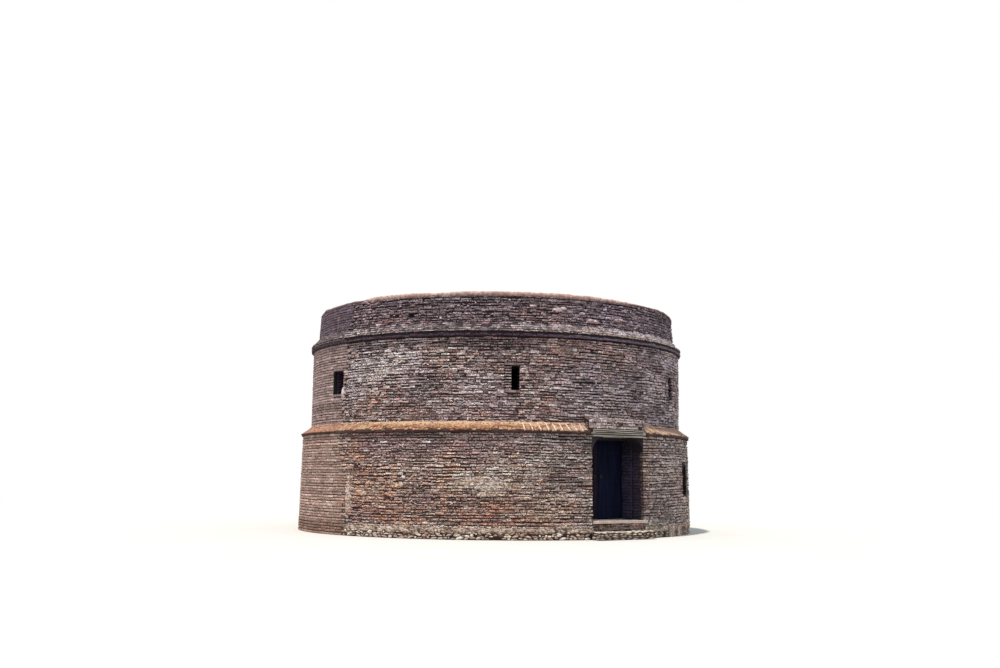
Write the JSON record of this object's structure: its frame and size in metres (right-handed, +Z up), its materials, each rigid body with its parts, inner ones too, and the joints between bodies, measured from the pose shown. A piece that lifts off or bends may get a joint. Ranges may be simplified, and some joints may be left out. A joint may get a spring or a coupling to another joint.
{
  "type": "round brick watchtower",
  "caption": "Squat round two-storey brick watchtower with a tiled ledge, a row of small windows, a parapet round a flat terrace, and a doorway with two plank leaves that open inward.",
  "frame": {"origin": "on the tower's axis at ground level, at the middle of the ground floor's underside", "axes": "+Z up along the tower's axis; the doorway faces -Y, so +X is to the right of a person who looks at the doorway"},
  "size_m": [11.4616, 11.751, 6.253],
  "materials": {
    "rubble": "rough rounded cobbles in pale mortar",
    "lower_brick": "worn fired brick in recessed mortar",
    "upper_brick": "worn fired brick with pale lime bloom",
    "parapet_brick": "worn fired brick, dark under the moulding",
    "reveal_brick": "worn fired brick in shade",
    "weathered_boards": "grey weathered boards and thin courses",
    "dressed_stone": "pale cut stone",
    "terracotta": "matt orange terracotta tile",
    "mortar": "trowelled lime mortar",
    "paving": "worn terracotta paving",
    "door_timber": "dark weathered planks",
    "floor_timber": "rough sawn timber",
    "iron": "dark wrought iron"
  },
  "bodies": {
    "tower": {"foundation_left": "rubble", "foundation_right": "rubble", "door_sill": "reveal_brick", "threshold": "dressed_stone", "lower_step": "rubble", "lower_wall_front_left": "lower_brick", "lower_wall_front_right": "lower_brick", "lower_wall_right": "lower_brick", "lower_wall_back_right": "lower_brick", "lower_wall_back": "lower_brick", "lower_wall_back_left": "lower_brick", "slit_aprons": "lower_brick", "slit_heads": "lower_brick", "door_lintel": "weathered_boards", "door_head": "reveal_brick", "door_corbels": "reveal_brick", "over_door_panel": "weathered_boards", "door_frame": "door_timber", "door_pintles": "iron", "tile_ledge_left": "terracotta", "tile_ledge_right": "terracotta", "upper_wall_front": "upper_brick", "upper_wall_front_right": "upper_brick", "upper_wall_back_right": "upper_brick", "upper_wall_back": "upper_brick", "upper_wall_back_left": "upper_brick", "upper_wall_front_left": "upper_brick", "window_aprons": "upper_brick", "window_heads": "upper_brick", "window_sills": "dressed_stone", "window_lintels": "dressed_stone", "window_infill": "upper_brick", "moulding_left": "parapet_brick", "moulding_right": "parapet_brick", "parapet_left": "parapet_brick", "parapet_right": "parapet_brick", "coping_left": "mortar", "coping_right": "mortar", "ground_floor": "paving", "upper_floor": "floor_timber", "upper_floor_beams": "floor_timber", "terrace": "paving", "roof_beams": "floor_timber"},
    "left_door": {"left_leaf": "door_timber", "left_leaf_ledgers": "door_timber", "left_leaf_ironwork": "iron"},
    "right_door": {"right_leaf": "door_timber", "right_leaf_ledgers": "door_timber", "right_leaf_ironwork": "iron"}
  },
  "joints": [
    {"name": "left_door_hinge", "type": "hinge", "parent": "tower", "child": "left_door", "pos_m": [-0.772, -4.706, 0.48], "axis": [0, 0, 1], "range_deg": [0, 90]},
    {"name": "right_door_hinge", "type": "hinge", "parent": "tower", "child": "right_door", "pos_m": [0.772, -4.706, 0.48], "axis": [0, 0, -1], "range_deg": [0, 90]}
  ]
}
